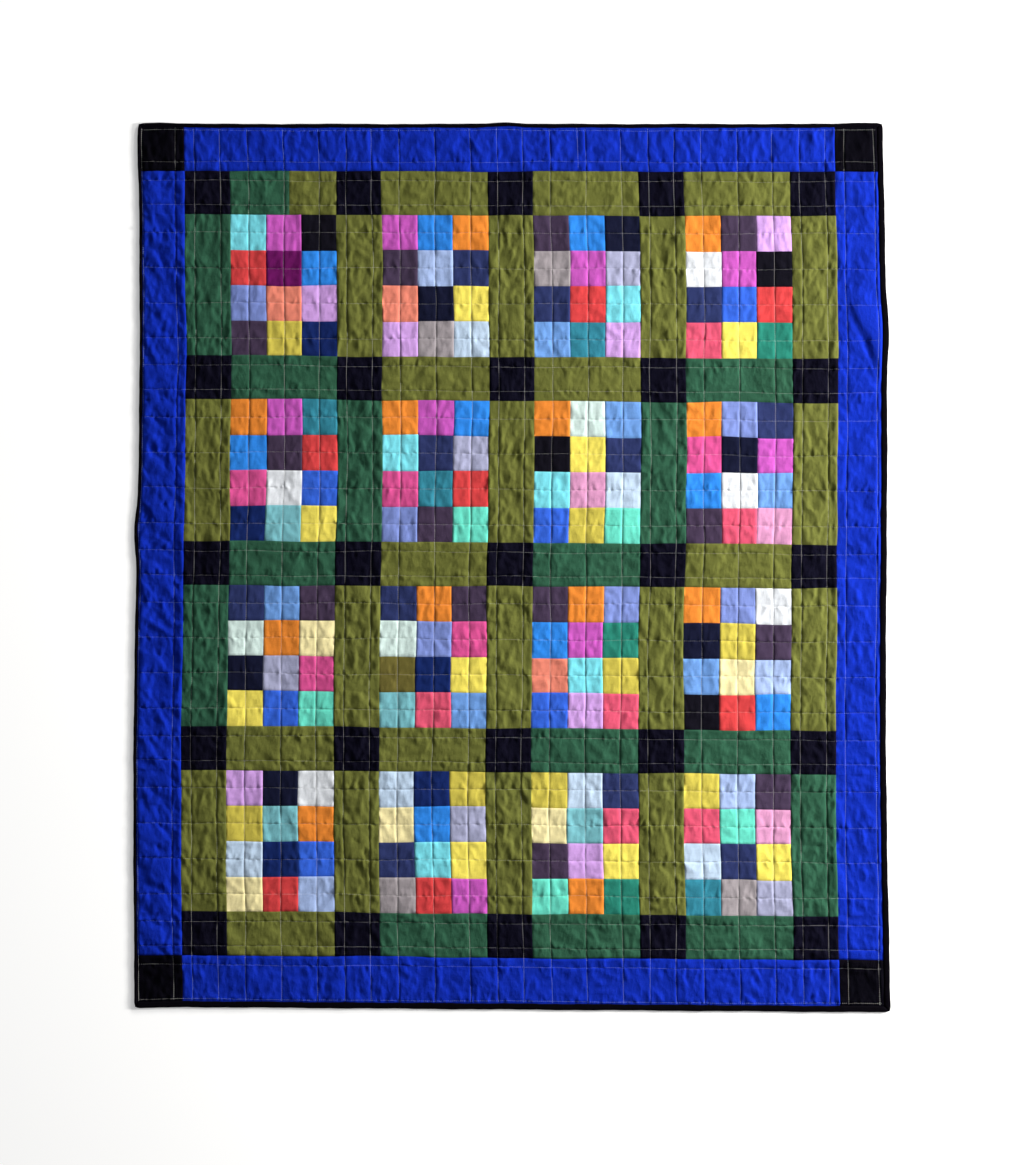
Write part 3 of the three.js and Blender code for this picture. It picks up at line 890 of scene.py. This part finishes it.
def binding(side):
    """A strip of cloth folded round the edge, mitred at the corners."""
    wide = BINDING[side]
    upright = side in ("left", "right")
    low, high = ("bottom", "top") if upright else ("left", "right")
    seed = 60 + ["left", "right", "top", "bottom"].index(side)
    length = H if upright else W
    n = int(length / 5.2)
    along = np.linspace(EDGE[low], EDGE[high], n + 1)
    mid = wide / 2
    # depth in from the outer edge, height: outside from the back to the front, then inside
    section = np.array([
        (wide + 0.2, 0.45), (wide - 1.2, 0.12), (mid + 0.8, 0.0), (2.2, 0.0), (0.8, 0.35), (0.15, 1.1),
        (0.0, 2.1), (0.18, 3.15), (0.85, 4.05), (2.1, 4.5), (mid, 4.62), (wide - 2.4, 4.45),
        (wide - 1.1, 4.0), (wide - 0.25, 3.35), (wide - 0.05, 2.75),
        (wide - 0.9, 2.75), (mid, 2.85), (1.7, 2.8), (1.25, 2.0), (1.7, 1.15), (mid, 1.05), (wide - 0.6, 0.95),
    ])
    out = np.zeros((n + 1, len(section), 3))
    edge_in = ripple(along, seed, ((47, 0.28), (19, 0.14), (150, 0.35)))
    edge_out = ripple(along, seed + 10, ((62, 0.22), (23, 0.10), (210, 0.35)))
    swell = ripple(along, seed + 20, ((33, 0.16), (14, 0.10), (90, 0.16)))
    pucker = ripple(along, seed + 30, ((8.7, 0.10), (11.3, 0.09)))
    for m, (depth, z) in enumerate(section):
        share = depth / wide
        d = depth + (TRIM[side] + edge_out) * (1 - share) + edge_in * share
        lift = np.full(n + 1, z)
        if 1.0 < z and 7 <= m <= 13:
            lift = lift + swell + pucker * share * (1.2 if m > 10 else 0.5)
        first = EDGE[low] + depth * BINDING[low] / wide + 0.25
        last = EDGE[high] - depth * BINDING[high] / wide - 0.25
        run = first + (last - first) * (along - along[0]) / (along[-1] - along[0])
        across = EDGE[side] + (d if side in ("left", "bottom") else -d)
        x, y = place(across, run) if upright else place(run, across)
        out[:, m] = np.stack([x, y, lift], 1) * MM
    k = len(section)
    index = np.arange((n + 1) * k).reshape(n + 1, k)
    a, b = index[:-1], index[1:]
    quads = np.stack([a, np.roll(a, -1, 1), np.roll(b, -1, 1), b], -1).reshape(-1, 4)
    if side in ("right", "bottom"):
        quads = quads[:, ::-1]
    faces = [tuple(int(c) for c in q) for q in quads]
    # the ends, as a strip between the outside of the section and its inside
    pairs = list(zip(range(0, 14), [21, 21, 20, 19, 19, 18, 18, 18, 17, 17, 16, 16, 15, 15]))
    for base, flip in ((index[0], side in ("right", "bottom")), (index[-1], side not in ("right", "bottom"))):
        for p, q in zip(pairs, pairs[1:] + [(14, 15)]):
            loop = [p[0], q[0], q[1]] if p[1] == q[1] else [p[0], q[0], q[1], p[1]]
            loop = [int(base[c]) for c in loop]
            faces.append(tuple(loop if flip else loop[::-1]))
    mesh = bpy.data.meshes.new("bound_edge_" + side)
    mesh.from_pydata([tuple(p) for p in out.reshape(-1, 3)], [], faces)
    mesh.validate()
    mesh.polygons.foreach_set("use_smooth", np.full(len(mesh.polygons), True))
    mesh.materials.append(COTTON_BINDING)
    obj = bpy.data.objects.new("bound_edge_" + side, mesh)
    SCENE.collection.objects.link(obj)
    # half of the folded strip's surface, and the two edges turned under
    return add(obj, "binding_" + side)


for side in ("top", "right", "bottom", "left"):
    binding(side)


# ---------------------------------------------------------------- the quilting thread
def stitches(name, rows_at, upright, under, pitch=3.6, seen=2.5, thick=0.52, lift=0.0, seed=0):
    """Every stitch of one set of rows, as small spindles that dip into the cloth at both ends."""
    r = np.random.default_rng(seed)
    runs, grid = (V, U) if upright else (U, V)
    field_z = TOP[:, :, 2] / MM
    points, tints = [], []
    short = [SHORT_ROW["at"]] if upright else []
    for p in [*rows_at, *short]:
        k = at(grid, p)
        start, stop = (IN_V if upright else IN_U)
        if p in short:
            start = SHORT_ROW["low"]
        mids = np.arange(start + pitch * r.uniform(0.6, 1.0), stop - 1.5, pitch)
        mids = mids + r.uniform(-0.25, 0.25, len(mids))
        half = seen / 2 * r.uniform(0.9, 1.1, len(mids))
        side = r.uniform(-0.12, 0.12, len(mids))
        line_z = field_z[:, k] if upright else field_z[k]
        line_u = UU[:, k] + STRAY_U[:, k] if upright else UU[k] + STRAY_U[k]
        line_v = VV[:, k] + STRAY_V[:, k] if upright else VV[k] + STRAY_V[k]

        def spot(s, off, rise):
            z = np.full_like(s, 1.0) if under else np.interp(s, runs, line_z)
            uu, vv = np.interp(s, runs, line_u), np.interp(s, runs, line_v)
            uu, vv = (uu + off, vv) if upright else (uu, vv + off)
            x, y = place(uu, vv)
            return np.stack([x, y, (z - rise) if under else (z + rise + lift)], -1)

        w = thick / 2 * (1.25 if p in (rows_at[0], rows_at[-1]) else 1.0)
        ends = [spot(mids - half, side, -0.20), spot(mids + half, side, -0.20)]
        if under:
            sides = [spot(mids, side - w, 0.35), spot(mids, side + w, 0.35)]
        else:
            sides = [spot(mids, side - w, 0.05), spot(mids, side, 0.05 + w * 1.5), spot(mids, side + w, 0.05)]
        points.append(np.stack(ends + sides, 1))
        across = abs(p) > (LAT_W if upright else LAT_H) / 2
        on_blue = ((np.abs(mids) > (LAT_H if upright else LAT_W) / 2) != across) & (not under)
        # stitches lying on the blue cloth get the painted blue reflection instead of plain ecru
        tints.append(np.where(on_blue[:, None], ECRU_PAINTED_BLUE_REFLECTION, ECRU))
    pts = np.concatenate(points)  # (stitches, 4 or 5, 3)
    if under:
        tri = np.array([(0, 2, 3), (1, 3, 2), (0, 1, 2), (0, 3, 1)])
    else:
        tri = np.array([(0, 2, 3), (0, 3, 4), (0, 4, 2), (1, 3, 2), (1, 4, 3), (1, 2, 4)])
    if upright == under:
        tri = tri[:, ::-1]
    base = (np.arange(len(pts)) * pts.shape[1])[:, None, None]
    obj = mesh_object(name, pts.reshape(-1, 3) * MM, (tri[None] + base).reshape(-1, 3), THREAD)
    rgba = np.concatenate([np.concatenate(tints), np.ones((len(pts), 1))], 1)
    layer = obj.data.color_attributes.new("cloth", "FLOAT_COLOR", "POINT")
    layer.data.foreach_set("color", np.repeat(rgba, pts.shape[1], axis=0).astype(np.float32).ravel())
    return obj


for name, rows_at, upright, under, seen, thick, lift, seed in (
    ("thread_upright", ROWS_U, True, False, 2.5, 0.68, 0.15, 71),
    ("thread_level", ROWS_V, False, False, 2.3, 0.55, 0.0, 72),
    ("thread_under_upright", ROWS_U, True, True, 2.5, 0.70, 0.0, 73),
    ("thread_under_level", ROWS_V, False, True, 2.5, 0.62, 0.0, 74),
):
    made_stitches = stitches(name, rows_at, upright, under, seen=seen, thick=thick, lift=lift, seed=seed)
    add(made_stitches, "quilted_body")

# ---------------------------------------------------------------- floor, light and camera
g = Graph("pale_floor")
g.link(g.times((0.93, 0.93, 0.925), g.math("MULTIPLY_ADD", g.noise(3, 2, 0.5), 0.02, 0.99)), g.bsdf.inputs["Base Color"])
g.bsdf.inputs["Roughness"].default_value = 0.9
g.bsdf.inputs["Emission Color"].default_value = (1, 1, 1, 1)
g.bsdf.inputs["Emission Strength"].default_value = 0.30
floor = bpy.data.objects.new("floor", bpy.data.meshes.new("floor"))
floor.data.from_pydata([(-30, -30, 0), (30, -30, 0), (30, 30, 0), (-30, 30, 0)], [], [(0, 1, 2, 3)])
floor.data.materials.append(g.material)
floor.location.z = -0.0002
SCENE.collection.objects.link(floor)

world = bpy.data.worlds.new("studio")
SCENE.world = world
world.use_nodes = True
world.node_tree.nodes["Background"].inputs["Color"].default_value = (0.95, 0.97, 1.0, 1)
world.node_tree.nodes["Background"].inputs["Strength"].default_value = 0.20


def softbox(name, azimuth, elevation, distance, size, power, colour=(1, 1, 1)):
    a, e = math.radians(azimuth), math.radians(elevation)
    light = bpy.data.lights.new(name, "AREA")
    light.shape, light.size, light.size_y = "RECTANGLE", size[0], size[1]
    light.energy, light.color = power, colour
    obj = bpy.data.objects.new(name, light)
    obj.location = (distance * math.cos(e) * math.cos(a), distance * math.cos(e) * math.sin(a), distance * math.sin(e))
    aim = -obj.location.normalized()
    obj.rotation_euler = aim.to_track_quat("-Z", "Y").to_euler()
    SCENE.collection.objects.link(obj)
    return obj


softbox("window", 6, 20, 3.3, (0.68, 0.68), 230, (1.0, 0.985, 0.96))
softbox("window_far", 55, 20, 9.0, (1.8, 1.8), 560, (1.0, 0.985, 0.96))

PHOTO_W, PHOTO_H = 1014, 1165
PER_PIXEL = 1.78 * MM
camera = bpy.data.cameras.new("camera")
camera.sensor_fit = "VERTICAL"
camera.sensor_height = 24.0
DISTANCE = 4.5
camera.lens = 24.0 * DISTANCE / (PHOTO_H * PER_PIXEL)
camera.clip_end = 100
camera.dof.use_dof = False
camera_obj = bpy.data.objects.new("camera", camera)
camera_obj.location = ((507 - 511.5) * PER_PIXEL, (567.5 - 582.5) * PER_PIXEL, DISTANCE)
camera_obj.rotation_euler = (0, 0, 0)
SCENE.collection.objects.link(camera_obj)
SCENE.camera = camera_obj
SCENE.view_settings.view_transform = "Standard"
SCENE.view_settings.look = "None"
